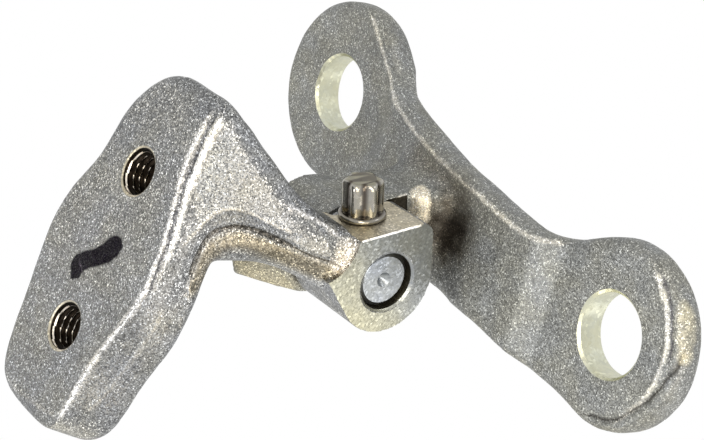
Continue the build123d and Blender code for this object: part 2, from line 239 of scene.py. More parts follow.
def plated_steel(name, tone, grain_mm, lean, roughness, spread=0.3, marks=()):
    """Zinc plate; grain is one facet, lean its tilt, spread how far the facets differ in tone."""
    made, tree, out = new_material(name)
    place = add(tree, "ShaderNodeTexCoord").outputs["Object"]
    facet = add(tree, "ShaderNodeTexVoronoi", {"Vector": place, "Scale": 1 / (grain_mm * MM)})
    cloud = add(tree, "ShaderNodeTexNoise", {"Vector": place, "Scale": 1 / (PATCH_MM * MM),
                                             "Detail": 3.0})
    channel = add(tree, "ShaderNodeSeparateColor", {0: facet.outputs["Color"]})
    # the passivation runs from a cool grey to a pale straw colour, in patches and from facet to facet
    mottle = add(tree, "ShaderNodeSeparateColor", {0: cloud.outputs["Color"]})
    patchy = add(tree, "ShaderNodeMapRange", {"Value": mottle.outputs[1], "From Min": 0.38,
                                              "From Max": 0.62, "To Min": 0.0, "To Max": 0.6})
    straw = add(tree, "ShaderNodeMath", {0: channel.outputs[1], 1: 0.4, 2: patchy.outputs[0]},
                operation="MULTIPLY_ADD")
    tint = add(tree, "ShaderNodeMix", {"Factor": straw.outputs[0], "A": linear("#f9f9fd"),
                                       "B": linear("#fffbf1")}, data_type="RGBA")
    # most facets differ a little; a rare few are painted far brighter, as painted glints
    rare = add(tree, "ShaderNodeMath", {0: channel.outputs[0], 1: PAINTED_GLINT_POWER}, operation="POWER")
    bright = add(tree, "ShaderNodeMath", {0: rare.outputs[0], 1: PAINTED_GLINT_GAIN * spread},
                 operation="MULTIPLY")
    level = add(tree, "ShaderNodeMath", {0: channel.outputs[2], 1: FACET_RANGE * spread,
                                         2: 1 - FACET_DROP * spread}, operation="MULTIPLY_ADD")
    level = add(tree, "ShaderNodeMath", {0: level.outputs[0], 1: bright.outputs[0]}, operation="ADD")
    patch = add(tree, "ShaderNodeMapRange", {"Value": cloud.outputs["Fac"], "From Min": 0.3,
                                             "From Max": 0.7, "To Min": 0.92, "To Max": 1.08})
    level = add(tree, "ShaderNodeMath", {0: level.outputs[0], 1: patch.outputs[0]}, operation="MULTIPLY")
    colour = linear(tone)
    for attribute, mark, edge, soft, strength in marks:
        far = add(tree, "ShaderNodeAttribute", attribute_name=attribute).outputs["Fac"]
        if attribute.endswith("_line"):
            far = add(tree, "ShaderNodeMath", {0: far}, operation="ABSOLUTE").outputs[0]
        cover = add(tree, "ShaderNodeMapRange", {"Value": far, "From Min": edge - soft,
                                                 "From Max": edge + soft, "To Min": strength,
                                                 "To Max": 0.0})
        mixed = add(tree, "ShaderNodeMix", {"Factor": cover.outputs[0], "A": colour, "B": linear(mark)},
                    data_type="RGBA")
        colour = mixed.outputs["Result"]
    base = add(tree, "ShaderNodeMix", {"Factor": 1.0, "A": colour, "B": tint.outputs["Result"]},
               data_type="RGBA", blend_type="MULTIPLY")
    colour = add(tree, "ShaderNodeVectorMath", {0: base.outputs["Result"], "Scale": level.outputs[0]},
                 operation="SCALE").outputs[0]
    centred = add(tree, "ShaderNodeVectorMath", {0: facet.outputs["Color"], 1: (0.5, 0.5, 0.5)},
                  operation="SUBTRACT")
    tilt = add(tree, "ShaderNodeVectorMath", {0: centred.outputs[0], "Scale": lean}, operation="SCALE")
    normal = add(tree, "ShaderNodeNewGeometry").outputs["Normal"]
    leaning = add(tree, "ShaderNodeVectorMath", {0: normal, 1: tilt.outputs[0]}, operation="ADD")
    facing = add(tree, "ShaderNodeVectorMath", {0: leaning.outputs[0]}, operation="NORMALIZE")
    skin = add(tree, "ShaderNodeBsdfPrincipled", {"Base Color": colour, "Metallic": 1.0,
                                                  "Roughness": roughness, "Normal": facing.outputs[0]})
    tree.links.new(skin.outputs[0], out.inputs["Surface"])
    return made


# the real grain is near 0.15 mm; it is drawn a little coarser so that it shows
# each mark: the distance it is read from, colour, edge, softness (mm) and strength
# on the door the edge, neck, crest, shoulder, trim and crease lines and the arm's end are painted
# highlights, the groove is painted shade, and the parting line is painted dark
DOOR_MARKS = [("under_far", "#7d7664", 1.6, 0.8, 0.75), ("edge_line", "#e2e2e0", 0.3, 0.35, 0.8),
              ("neck_line", "#f8f7f2", 0.55, 0.35, 0.95), ("crest_line", "#f0eeea", 0.35, 0.4, 0.7),
              ("shoulder_line", "#d5d2c8", 0.1, 0.3, 0.6), ("trim_line", "#bdbbb5", 0.1, 0.3, 0.5),
              ("crease_line", "#b4b4b1", 0.15, 0.35, 0.6), ("groove_line", "#3d3d45", 0.15, 0.28, 0.8),
              ("parting_line", "#2c261c", 0.1, 0.1, 0.85), ("end_far", "#ddd6ca", 0.0, 0.8, 0.6),
              ("ink_far", "#0f0b15", 0.5, 0.2, 1.0), ("streak_line", "#55505c", 0.1, 0.15, 0.8)]
# on the pillar the rim, tab, band, cream and lip marks are painted highlights and the shade mark is
# painted shade; the pocket beside the eye has a brown stain deepened by painted shadow; gutter and
# trench are painted darker
PILLAR_MARKS = [("rim_line", "#e8e6de", 0.2, 0.4, 0.85), ("tab_line", "#eae9e2", 0.25, 0.35, 0.8),
                ("gutter_line", "#4a4850", 0.25, 0.3, 0.75),
                ("trench_line", "#35322d", 0.35, 0.35, 0.85),
                ("band_far", "#dcd6bd", 0.0, 0.8, 0.85), ("shade_far", "#5d574c", 0.0, 2.0, 0.6),
                ("stain_and_shadow_far", "#4c453a", 0.0, 2.0, 0.7), ("stain_and_shadow_far", "#2a241d", -2.4, 1.5, 0.8),
                ("cream_far", "#efe9da", 0.0, 0.4, 0.9), ("lip_far", "#f0eee8", 0.0, 0.12, 0.9),
                ("nose_far", "#b3af9d", 0.0, 1.0, 0.8)]
FACE_MARKS = [("warm_far", "#b2b19b", -3.0, 6.0, 0.85)]
# on the screw the crown and flutes are painted darker as painted reflections, the collar as painted
# shade
SCREW_MARKS = [("crown_far", "#85826d", 0.1, 0.1, 0.8), ("flute_far", "#382e27", 0.25, 0.25, 0.85)]
door_zinc = plated_steel("zinc on blasted forging, door leaf", "#87898a", 0.19, 0.38, 0.42, 0.6,
                         DOOR_MARKS)
pillar_zinc = plated_steel("zinc on blasted forging, pillar leaf", "#8d8f8d", 0.18, 0.28, 0.6, 0.38,
                           PILLAR_MARKS)
milled_zinc = plated_steel("zinc on drilled steel", "#cdcfbb", 0.6, 0.12, 0.35, 0.06)
face_zinc = plated_steel("zinc on milled eye face", "#9a9e9f", 0.35, 0.12, 0.34, 0.1, FACE_MARKS)
top_zinc = plated_steel("zinc on the eye's flat top", "#bab4a3", 0.3, 0.15, 0.4, 0.2)
# a painted highlight on the chamfer of the eye's top edge
edge_highlight_zinc = plated_steel("milled edge painted bright as highlight", "#f0eee6", 0.3, 0.2, 0.35, 0.25)
# the lug's milled face is painted dark as shade
lug_shade_zinc = plated_steel("zinc on the lug's milled face, painted dark as shade", "#45423c", 0.3, 0.15, 0.5, 0.2)
# the pin bore is painted dark as shade
bore_shade_zinc = plated_steel("pin bore painted dark as shade", "#5b574b", 0.5, 0.1, 0.35, 0.08)
# the thread's flanks are painted black as shade and its crests bright as highlights
thread_shade_zinc = plated_steel("thread flanks painted black as shade", "#17130f", 0.5, 0.1, 0.3, 0.06)
crest_highlight_zinc = plated_steel("thread crests painted bright as highlight", "#e9e3da", 0.4, 0.1, 0.3, 0.1)
pin_zinc = plated_steel("bright zinc on turned steel", "#a3a9b0", 0.35, 0.08, 0.35, 0.1)
screw_zinc = plated_steel("bright zinc on cold-headed steel", "#a5a39c", 0.8, 0.05, 0.14, 0.05,
                          SCREW_MARKS)
bush_bronze = plated_steel("plain bronze bearing bush", "#8c7148", 0.4, 0.1, 0.4, 0.1)
print("materials", [m.name for m in bpy.data.materials])

# %% [markdown]
# A forging has no sharp inner corners. The CAD leaves are copied, their holes are filled, and a
# voxel remesh turns each into one even skin that can be smoothed as the dies would leave it.


# %% Forged skins
def mesh_object(name, verts, faces):
    """A new object from points and faces."""
    mesh = bpy.data.meshes.new(name)
    mesh.from_pydata(verts, [], faces)
    mesh.update()
    made = bpy.data.objects.new(name, mesh)
    bpy.context.collection.objects.link(made)
    return made


def lathe(name, start, axis, profile, count=64):
    """A closed turned body; profile is (radius, height) in mm along the axis, from end to end."""
    side = axis.orthogonal().normalized()
    other = axis.cross(side)
    verts = [start + axis * profile[0][1] * MM]
    for radius, height in profile:
        for k in range(count):
            turn = 2 * pi * k / count
            verts.append(start + (axis * height + (side * cos(turn) + other * sin(turn)) * radius) * MM)
    verts.append(start + axis * profile[-1][1] * MM)
    faces = []
    for k in range(count):
        j = (k + 1) % count
        faces.append((0, 1 + j, 1 + k))
        for row in range(len(profile) - 1):
            a = 1 + row * count
            faces.append((a + k, a + j, a + count + j, a + count + k))
        last = 1 + (len(profile) - 1) * count
        faces.append((len(verts) - 1, last + k, last + j))
    return mesh_object(name, verts, faces)


def apply_all(item):
    """Applies the modifiers of an object."""
    graph = bpy.context.evaluated_depsgraph_get()
    made = bpy.data.meshes.new_from_object(item.evaluated_get(graph))
    item.modifiers.clear()
    item.data = made


def forged_skin(name, node, plugs, voxel_mm):
    """The CAD node with its holes filled, as one even skin."""
    skin = bpy.data.objects.new(name, nodes[node].data.copy())
    bpy.context.collection.objects.link(skin)
    whole = bmesh.new()
    whole.from_mesh(skin.data)
    for plug in plugs:
        whole.from_mesh(plug.data)
        bpy.data.objects.remove(plug)
    whole.to_mesh(skin.data)
    whole.free()
    skin.data.materials.clear()
    remesh = skin.modifiers.new("even skin", "REMESH")
    remesh.mode = "VOXEL"
    remesh.voxel_size = voxel_mm * MM
    apply_all(skin)
    return skin


def cut(item, tool):
    """Cuts a tool out of a piece; the cut faces take the tool's material index."""
    step = item.modifiers.new("cut", "BOOLEAN")
    step.operation = "DIFFERENCE"
    step.solver = "EXACT"
    step.object = tool
    apply_all(item)
    bpy.data.objects.remove(tool)


HOLE_HIGH = -1.3
HOLE_PITCH = 28.4
HOLE_Z = -21.0
PIN_R = 5.0
SCREW_Z = EYE_TOP_Z - 8.0
# the pillar holes as (x, z), and the thickness of the tabs they go through
PILLAR_HOLES = [(-5.8, -40.3), (5.8, 40.3)]
TAB_T = 5.5
DOOR_VOXEL = 0.36
PILLAR_VOXEL = 0.4
plugs = [lathe("plug", at_eye(0, 0, -8.4), UP, [(5.6, 0.2), (5.6, 14.8)]),
         lathe("plug", at_eye(0, 1, SCREW_Z), TOP, [(3.4, 0), (3.4, EYE_R - 1.1)])]
for along in (HOLE_HIGH, HOLE_HIGH - HOLE_PITCH):
    plugs.append(lathe("plug", at_door(DOOR_FACE, along, HOLE_Z), -AWAY, [(5.0, 0.0), (5.0, 9.0)]))
door_skin = forged_skin("door_leaf_forging", "door_leaf", plugs, DOOR_VOXEL)
print("door skin", len(door_skin.data.vertices), "points")

plugs = []
for x, z in PILLAR_HOLES:
    plugs.append(lathe("plug", Vector((x, 0, z)) * MM, Vector((0, -1, 0)), [(7.4, 0.05), (7.4, 5.45)]))
pillar_skin = forged_skin("pillar_leaf_forging", "pillar_leaf", plugs, PILLAR_VOXEL)
print("pillar skin", len(pillar_skin.data.vertices), "points")

# %% [markdown]
# Smoothing rounds the skin. The eye's milled faces stay as they are: the weight of the smoothing
# fades out towards them. The gusset beside the eye and two corners of the neck are full blends, so
# they are smoothed once more, without the step back that keeps the volume.


# %% Smooth the skins
def read_points(mesh):
    """The points of a mesh as rows, in metres."""
    points = np.empty(len(mesh.vertices) * 3)
    mesh.vertices.foreach_get("co", points)
    return points.reshape(-1, 3)


def relax(item, rounds, weight, back=-0.61):
    """Moves each point towards the middle of its neighbours and back, as far as its weight allows."""
    mesh = item.data
    points = read_points(mesh)
    ends = np.empty(len(mesh.edges) * 2, dtype=np.int64)
    mesh.edges.foreach_get("vertices", ends)
    ends = ends.reshape(-1, 2)
    near = np.bincount(ends.ravel(), minlength=len(points))[:, None]
    pull = weight(points)[:, None]
    for strength in (0.6, back) * rounds:
        total = np.zeros_like(points)
        np.add.at(total, ends[:, 0], points[ends[:, 1]])
        np.add.at(total, ends[:, 1], points[ends[:, 0]])
        points = points + (total / near - points) * pull * strength
    mesh.vertices.foreach_set("co", points.ravel())
    mesh.update()


def eye_places(points):
    """Points in the eye's directions from the pin, in mm."""
    rel = points / MM - np.array(PIN)
    return rel @ np.array(FLANK), rel @ np.array(TOP), rel[:, 2]


def door_places(points):
    """Points in the door plate's directions from the pin, in mm."""
    rel = points / MM - np.array(PIN)
    return rel @ np.array(AWAY), rel @ np.array(ALONG), rel[:, 2]


def door_weight(points):
    """Little on the milled end of the eye, full on the arm and plate."""
    flank, top, z = eye_places(points)
    return np.clip((np.hypot(flank, top) - 10.0) / 3.0, 0.12, 1.0)


def pillar_weight(points):
    """Full everywhere but at the pillar eye's ends."""
    flank, top, z = eye_places(points)
    return np.clip((np.hypot(flank, top) - 8.0) / 3.0, 0.2, 1.0)


# places of the local blends as (distance, along, z)
BLENDS = [(28.0, 11.8, -8.0), (27.0, -10.5, -6.5)]
BLEND_MM = 3.0


def gusset_weight(points):
    """Only the blend between the lug and the strap."""
    flank, top, z = eye_places(points)
    inside = np.clip((flank - 11.5) / 2.0, 0, 1) * np.clip((19.5 - flank) / 2.0, 0, 1)
    return inside * np.clip((14.0 - abs(top)) / 2.0, 0, 1) * np.clip((13.0 - abs(z + 8.0)) / 3.0, 0, 1)


def blend_weight(points):
    """Only the plate's top corner beside the neck and the hollow below the neck."""
    places = np.stack(door_places(points), axis=1)
    return sum(np.exp(-(np.linalg.norm(places - place, axis=1) / BLEND_MM) ** 2) for place in BLENDS)


relax(door_skin, 14, door_weight)
relax(door_skin, 40, blend_weight, back=0.0)
relax(pillar_skin, 14, pillar_weight)
relax(pillar_skin, 60, gusset_weight, back=0.0)
print("skins smoothed")

# %% [markdown]
# Forging leaves its own signs: slightly wavy faces, a crisp plate edge with a groove beside it, a
# parting line along the neck where the two dies met, and torn flash on the lower tab. Each line is a
# row of points; the skin is pushed out or in beside it, and the same line later carries its colour:
# a painted highlight on the bright lines and a painted dark tone on the dark ones.

# %% Forging marks
NO_MARK = 9.0
SKIN_DEPTH = 1.5
# forging lines of the door leaf: height and half width in mm, then (distance, along, z) points
DOOR_LINES = {
    "edge": (0.2, 0.5, [
        (35.1, 11.6, -10.8), (35.1, 8.3, -11.0), (35.1, 4.0, -10.7), (35.1, -0.8, -9.4),
        (35.1, -5.4, -7.7), (35.1, -8.6, -6.9), (35.1, -11.0, -6.4), (35.0, -14.1, -6.0),
        (34.9, -16.6, -6.1), (34.9, -20.7, -6.8), (34.9, -24.7, -8.1), (34.9, -28.8, -9.5),
        (34.9, -33.1, -10.7), (35.0, -36.7, -10.9), (35.0, -41.6, -11.6)]),
    "groove": (-0.4, 0.55, [
        (34.5, 12.0, -10.2), (34.6, 9.4, -9.9), (34.5, 6.6, -10.0), (34.4, 3.8, -9.6),
        (34.5, 1.2, -9.3), (34.5, -1.6, -8.4), (34.7, -4.5, -7.2), (34.7, -7.8, -6.1),
        (34.6, -10.3, -5.8), (34.5, -12.7, -5.6), (34.2, -15.5, -5.9)]),
    "neck": (0.35, 0.6, [
        (33.8, 12.7, -9.1), (33.8, 10.3, -9.2), (33.9, 8.0, -9.2), (33.8, 3.8, -9.0), (33.7, 0.8, -8.7),
        (33.8, -2.4, -7.7), (33.8, -5.4, -6.5), (33.8, -7.8, -5.9), (33.7, -10.1, -5.7)]),
    "shoulder": (0.15, 0.5, [
        (32.0, -6.8, -5.5), (31.5, -5.3, -5.6), (30.7, -3.8, -5.7), (29.5, -1.1, -5.6),
        (28.5, 0.6, -4.8), (26.8, 1.3, -3.8), (25.1, 1.7, -2.8), (23.2, 1.6, -1.8), (21.1, 1.4, -0.6),
        (18.9, 1.6, 0.8)]),
    "parting": (-0.2, 0.35, [
        (28.7, -11.2, -4.5), (29.2, -8.7, -4.6), (29.1, -5.7, -4.8), (28.3, -3.5, -4.8),
        (26.9, -2.0, -3.9), (25.7, -1.2, -3.2), (24.1, -0.7, -2.3), (22.4, -0.5, -1.2),
        (20.4, -0.5, 0.0), (18.2, -0.5, 1.5), (15.8, -0.6, 2.9), (13.8, -0.5, 3.9), (11.9, -0.2, 4.8),
        (10.5, -0.1, 5.3)]),
    "crest": (0.15, 0.5, [
        (20.0, 5.0, -0.4), (16.5, 4.9, 0.8), (13.5, 4.7, 2.0), (11.9, 4.0, 3.2)]),
    "ridge": (0.2, 0.4, [
        (15.9, 4.4, 1.4), (14.3, 3.6, 2.6), (13.1, 2.2, 3.9), (11.5, 0.0, 4.9)]),
    "crease": (0.2, 0.5, [
        (34.9, -43.5, -29.2), (34.9, -43.8, -24.4), (34.9, -43.4, -19.2), (34.9, -42.7, -14.5),
        (34.9, -42.0, -10.9)]),
    "streak": (0.0, 0.3, [
        (35.1, -19.3, -24.9), (35.1, -20.1, -23.8), (35.1, -20.8, -22.1)]),
    "trim": (0.28, 0.5, [
        (30.5, -19.0, -4.9), (30.6, -22.9, -5.4), (30.5, -26.4, -6.2), (30.6, -29.9, -7.4),
        (30.7, -33.6, -8.2), (31.2, -36.6, -8.8), (32.0, -39.0, -9.5)]),
}
# lines of the pillar leaf, in the shared frame: the strap's rim, then the edge and flash of the far tab
PILLAR_LINES = {
    "rim": (0.12, 0.6, [
        (-21.3, -5.4, -36.6), (-18.7, -5.4, -33.0), (-16.4, -5.4, -30.4), (-14.0, -5.5, -28.0),
        (-12.0, -6.4, -25.0), (-9.8, -7.4, -20.8), (-7.8, -7.5, -15.5), (-6.6, -7.5, -11.3),
        (-5.5, -7.5, -6.4), (-4.5, -7.4, -1.9), (-3.6, -7.4, 5.5), (-2.9, -7.4, 9.1),
        (-2.3, -7.4, 12.9), (-1.9, -7.4, 19.6), (-2.6, -6.7, 22.3), (-3.2, -5.6, 24.6)]),
    "tab": (0.2, 0.5, [
        (-6.9, -5.4, 46.0), (-4.1, -5.4, 49.0), (-1.6, -5.4, 50.8), (1.2, -5.4, 52.0),
        (4.3, -5.4, 52.6), (7.3, -5.4, 52.4), (10.6, -5.4, 51.5), (13.7, -5.4, 49.9),
        (16.6, -5.4, 47.6)]),
    "gutter": (-0.3, 0.5, [
        (-6.7, -5.1, 47.4), (-4.5, -5.1, 49.9), (-1.9, -5.1, 51.5), (0.9, -5.1, 52.7),
        (3.4, -5.1, 53.3)]),
    "trench": (-0.5, 0.6, [
        (2.6, -4.6, 55.6), (6.1, -4.6, 54.2), (9.5, -4.6, 53.0), (13.6, -4.6, 50.2), (18.1, -4.6, 46.2),
        (19.3, -4.6, 41.2)]),
}
RIDGE_HEIGHT = 0.45
BANK_DEPTH = 0.6
BANK_FADE = 2.0
WAVE_MM = 6.0
WAVE_HEIGHT = 0.1


def smooth_line(line):
    """Rounds the corners of a line of points."""
    line = np.array(line, dtype=float)
    for _ in range(2):
        first, last = line[:-1], line[1:]
        inner = np.stack([0.75 * first + 0.25 * last, 0.25 * first + 0.75 * last], axis=1).reshape(-1, 3)
        line = np.vstack([line[:1], inner, line[-1:]])
    return line


def line_side(points, normals, line):
    """Distance of each point from a line, in mm, with a sign for the side that it lies on."""
    places = points / MM
    line = smooth_line(line)
    best = np.full(len(places), NO_MARK)
    for start, end in zip(line[:-1], line[1:]):
        step = end - start
        part = np.clip((places - start) @ step / (step @ step), 0, 1)
        off = places - start - part[:, None] * step
        # the skin may have been pushed since, so only the distance along the skin counts
        deep = (off * normals).sum(axis=1)
        off = off - deep[:, None] * normals
        far = np.linalg.norm(off, axis=1) + NO_MARK * (abs(deep) > SKIN_DEPTH)
        across = (np.cross(step, normals) * off).sum(axis=1)
        best = np.where(far < abs(best), np.where(across < 0, -far, far), best)
    return best


def door_line(name):
    """The points of a forging line in the shared frame."""
    return [at_door(*place) / MM for place in DOOR_LINES[name][2]]


def read_normals(mesh):
    """The normal at each point of a mesh."""
    normals = np.empty(len(mesh.vertices) * 3)
    mesh.vertex_normals.foreach_get("vector", normals)
    return normals.reshape(-1, 3)


def push(item, amount):
    """Pushes each point along its normal by an amount in mm."""
    points = read_points(item.data)
    normals = read_normals(item.data)
    points = points + normals * amount(points, normals)[:, None] * MM
    item.data.vertices.foreach_set("co", points.ravel())
    item.data.update()


def waves(points):
    """Gentle unevenness of a forged face, in mm."""
    scaled = points / (WAVE_MM * MM)
    return np.array([noise.noise(p) + 0.4 * noise.noise(p * 3.1) for p in scaled]) * WAVE_HEIGHT


def door_signs(points, normals):
    """Waves, forging lines, crisp edge and the bank below the neck's shoulder."""
    sides = {name: line_side(points, normals, door_line(name)) for name in DOOR_LINES}
    signs = waves(points) * door_weight(points)
    for name, (height, half, line) in DOOR_LINES.items():
        signs += height * np.exp(-(sides[name] / half) ** 2)
    # the plate's edge is crisper than the skin: it is drawn out where the skin turns the corner
    signs += np.clip(2 * (normals @ np.array(AWAY)) * normals[:, 2], 0, 1) ** 3 * RIDGE_HEIGHT
    # the skin falls from the shoulder to the parting line and comes back below it
    low, past = sides["shoulder"], sides["parting"]
    falling = np.clip(low / (low - past + 1e-6), 0, 1) * (low > 0)
    share = np.where(past > 0, np.exp(-past / BANK_FADE), falling)
    away, along, z = door_places(points)
    neck = np.clip((away - 16.0) / 3.0, 0, 1) * np.clip((31.0 - away) / 2.0, 0, 1) * (normals[:, 2] > 0)
    return signs - share * neck * BANK_DEPTH * (abs(past) < NO_MARK)


def pillar_signs(points, normals):
    """Waves, the strap's raised rim and the lines of the lower tab."""
    signs = waves(points) * pillar_weight(points)
    for height, half, line in PILLAR_LINES.values():
        signs += height * np.exp(-(line_side(points, normals, line) / half) ** 2)
    return signs


push(door_skin, door_signs)
push(pillar_skin, pillar_signs)
print("forging marks pushed")

# %% [markdown]
# After forging, the eye's end and top are milled flat and the holes are drilled. Each drill is a turned
# body with a flare at its mouth, so it leaves the broken edge that the real countersink leaves. The
# lug is notched beside the eye, and both leaves are relieved where one runs past the other.

# %% Mill and drill
TAP_R = 4.05
door_skin.data.materials.append(door_zinc)
pillar_skin.data.materials.append(pillar_zinc)


def machine(item, tool, finish):
    """Cuts a tool out of a piece; the cut faces take the finish."""
    if finish.name not in item.data.materials:
        item.data.materials.append(finish)
    for material in item.data.materials:
        tool.data.materials.append(material)
    for face in tool.data.polygons:
        face.material_index = item.data.materials.find(finish.name)
    cut(item, tool)


def eye_block(flanks, tops, heights):
    """A box in the eye's directions."""
    verts = [at_eye(f, t, z) for z in heights for f, t in
             ((flanks[0], tops[0]), (flanks[1], tops[0]), (flanks[1], tops[1]), (flanks[0], tops[1]))]
    faces = [(3, 2, 1, 0), (4, 5, 6, 7), (0, 1, 5, 4), (1, 2, 6, 5), (2, 3, 7, 6), (3, 0, 4, 7)]
    return mesh_object("tool", verts, faces)


MILL_DEPTH = 0.1
# chamfer along the eye's top edge, and how far its cutter stands clear
EDGE_CHAMFER = 0.84
CUTTER_CLEAR = 0.4
BORE_R = PIN_R + 0.02
machine(door_skin, eye_block((-14, 14), (-14, 14), (EYE_TOP_Z - MILL_DEPTH, EYE_TOP_Z + 3)), face_zinc)
machine(door_skin, eye_block((-5.6, 14), (EYE_R - MILL_DEPTH, EYE_R + 3), (-20, 14)), top_zinc)
corners = [(EYE_R + CUTTER_CLEAR, EYE_TOP_Z - EDGE_CHAMFER),
           (EYE_R + CUTTER_CLEAR, EYE_TOP_Z + CUTTER_CLEAR),
           (EYE_R - EDGE_CHAMFER, EYE_TOP_Z + CUTTER_CLEAR)]
wedge = mesh_object("tool", [at_eye(flank, top, z) for flank in (-5.3, 6.4) for top, z in corners],
                    [(2, 1, 0), (3, 4, 5), (0, 1, 4, 3), (1, 2, 5, 4), (2, 0, 3, 5)])
# the chamfer is painted bright as a highlight
machine(door_skin, wedge, edge_highlight_zinc)
machine(door_skin, lathe("tool", at_eye(0, 0, EYE_TOP_Z), -UP, [(6.2, -0.7), (4.9, 0.6)]), face_zinc)
bore = [(BORE_R, -1.0), (BORE_R, 20.0)]
# the bore wall is painted dark as shade
machine(door_skin, lathe("tool", at_eye(0, 0, EYE_TOP_Z), -UP, bore), bore_shade_zinc)
tapped = [(5.1, -0.5), (TAP_R, 0.2), (TAP_R, 9.2), (3.4, 9.6), (3.4, 13.0)]
for along in (HOLE_HIGH, HOLE_HIGH - HOLE_PITCH):
    machine(door_skin, lathe("tool", at_door(DOOR_FACE, along, HOLE_Z), -AWAY, tapped), top_zinc)
# the corner of the door eye that runs past the lug
machine(door_skin, eye_block((6.3, 8.5), (-8.0, -6.0), (-9.0, -7.9)), door_zinc)
# the lug's face beside the eye is milled and painted dark as shade
machine(pillar_skin, eye_block((7.0, 11.3), (3.0, 10.5), (-4.35, 4.0)), lug_shade_zinc)
# running clearance round the door eye: inside of the lip, its top, and the lug beside the eye
clearance = [(8.15, -9.45), (8.15, -5.85), (9.4, -5.85), (9.4, 4.0)]
machine(pillar_skin, lathe("tool", at_eye(0, 0, 0), UP, clearance), pillar_zinc)
machine(pillar_skin, eye_block((-9.5, -3.8), (4.0, 9.5), (-6.4, -5.0)), pillar_zinc)
plain = [(8.35, -1.1), (6.75, 0.5), (6.75, 5.0), (8.35, 6.6)]
for x, z in PILLAR_HOLES:
    mouth = Vector((x, -TAB_T, z)) * MM
    machine(pillar_skin, lathe("tool", mouth, Vector((0, 1, 0)), plain), milled_zinc)
print("holes drilled", len(door_skin.data.polygons), len(pillar_skin.data.polygons))

# %% [markdown]
# Marks that sit on the skin: painted highlights along edges and lines, painted shade in the door's
# groove, a dark line painted along the parting line, a stroke of dark marker on the door face, a brown
# stain in the pocket beside the eye deepened by painted shadow, and a few painted highlights, shade and
# pale spots. Each is kept on the mesh as a distance in mm, made a little ragged with noise.

# %% Marks on the skin
# outline of the marker stroke on the door face as (along, z) points
STROKE = [(-22.3, -24.8), (-20.5, -26.4), (-19.2, -26.1), (-17.8, -24.2), (-16.5, -22.2), (-15.0, -20.7),
          (-13.5, -19.9), (-12.5, -18.7), (-12.4, -17.2), (-13.0, -16.4), (-14.5, -16.6), (-16.2, -17.9),
          (-17.6, -19.8), (-18.9, -21.8), (-20.1, -23.1), (-20.9, -23.4), (-21.6, -23.4)]
STAIN_AND_SHADOW_PLACE = (4.5, 1.2)
STAIN_AND_SHADOW_HALF = (6.0, 4.8)
STAIN_AND_SHADOW_FROM_Y = -4.0
# a painted highlight where the arm meets the eye, and spots on the pillar leaf: painted shade, painted
# # highlights and a paler nose, each as two ends and a radius
ARM_END = ((6.2, -31.9, 4.8), (9.0, -32.8, 5.8), 1.5)
SPOTS = {"shade_far": ((-4.2, -7.5, -12.0), (-2.6, -7.5, 1.0), 1.6),
         "cream_far": ((-0.6, -11.9, -3.9), (3.4, -12.0, -2.4), 1.6),
         "band_far": ((-3.5, -3.6, 52.0), (2.6, -3.6, 54.3), 1.2),
         "lip_far": ((1.5, -17.4, -4.3), (0.2, -14.6, -4.5), 0.2),
         "nose_far": ((17.5, -34.5, -15.0), (20.0, -31.0, -13.0), 4.2)}


def keep(item, name, values):
    """Stores one number per point on a mesh."""
    item.data.attributes.new(name, "FLOAT", "POINT").data.foreach_set("value", values)


def spot_far(places, spot):
    """Distance in mm from a spot given as two ends and a radius."""
    start, end, radius = np.array(spot[0]), np.array(spot[1]), spot[2]
    step = end - start
    part = np.clip((places - start) @ step / (step @ step), 0, 1)
    return np.linalg.norm(places - start - part[:, None] * step, axis=1) - radius


points = read_points(door_skin.data)
normals = read_normals(door_skin.data)
keep(door_skin, "end_far", spot_far(points / MM, ARM_END))
sides = {name: line_side(points, normals, door_line(name)) for name in DOOR_LINES}
# the painted highlight and shade lines and the ink streak are ragged, the parting line is not
rough = np.array([noise.noise(p / (0.9 * MM)) for p in points])
for name, side in sides.items():
    keep(door_skin, name + "_line", side + (0.05 if name == "parting" else 0.35) * rough)
# a warm band lies below the parting line
keep(door_skin, "under_far", abs(sides["parting"] - 2.0))
flank, top, z = eye_places(points)
keep(door_skin, "warm_far", flank * 0.8 + top * 0.6)

away, along, z = door_places(points)
ink = np.full(len(points), NO_MARK)
inside = np.zeros(len(points), dtype=bool)
for (a0, z0), (a1, z1) in zip(STROKE, STROKE[1:] + STROKE[:1]):
    length2 = (a1 - a0) ** 2 + (z1 - z0) ** 2
    part = np.clip(((along - a0) * (a1 - a0) + (z - z0) * (z1 - z0)) / length2, 0, 1)
    ink = np.minimum(ink, np.hypot(along - a0 - part * (a1 - a0), z - z0 - part * (z1 - z0)))
    crosses = (z0 > z) != (z1 > z)
    inside ^= crosses & (along < a0 + (z - z0) / (z1 - z0 + 1e-9) * (a1 - a0))
ink = np.where(inside, -ink, ink)
keep(door_skin, "ink_far", np.where(away > DOOR_FACE - 1.0, ink + 0.12 * rough, NO_MARK))

points = read_points(pillar_skin.data)
normals = read_normals(pillar_skin.data)
rough = np.array([noise.noise(p / (1.6 * MM)) for p in points])
for name, (height, half, line) in PILLAR_LINES.items():
    keep(pillar_skin, name + "_line", line_side(points, normals, line) + 0.3 * rough)
places = points / MM
x, y, z = places.T
# the pocket beside the eye: a brown stain, darkened further as painted shadow of the eye
oval = np.hypot((x - STAIN_AND_SHADOW_PLACE[0]) / STAIN_AND_SHADOW_HALF[0], (z - STAIN_AND_SHADOW_PLACE[1]) / STAIN_AND_SHADOW_HALF[1])
mark = (oval - 1.0) * STAIN_AND_SHADOW_HALF[0] + 2.0 * rough
keep(pillar_skin, "stain_and_shadow_far", np.where(y < STAIN_AND_SHADOW_FROM_Y, mark, NO_MARK))
for name, spot in SPOTS.items():
    keep(pillar_skin, name, spot_far(places, spot) + (0.5 if spot[2] > 1 else 0.1) * rough)
print("marks kept")

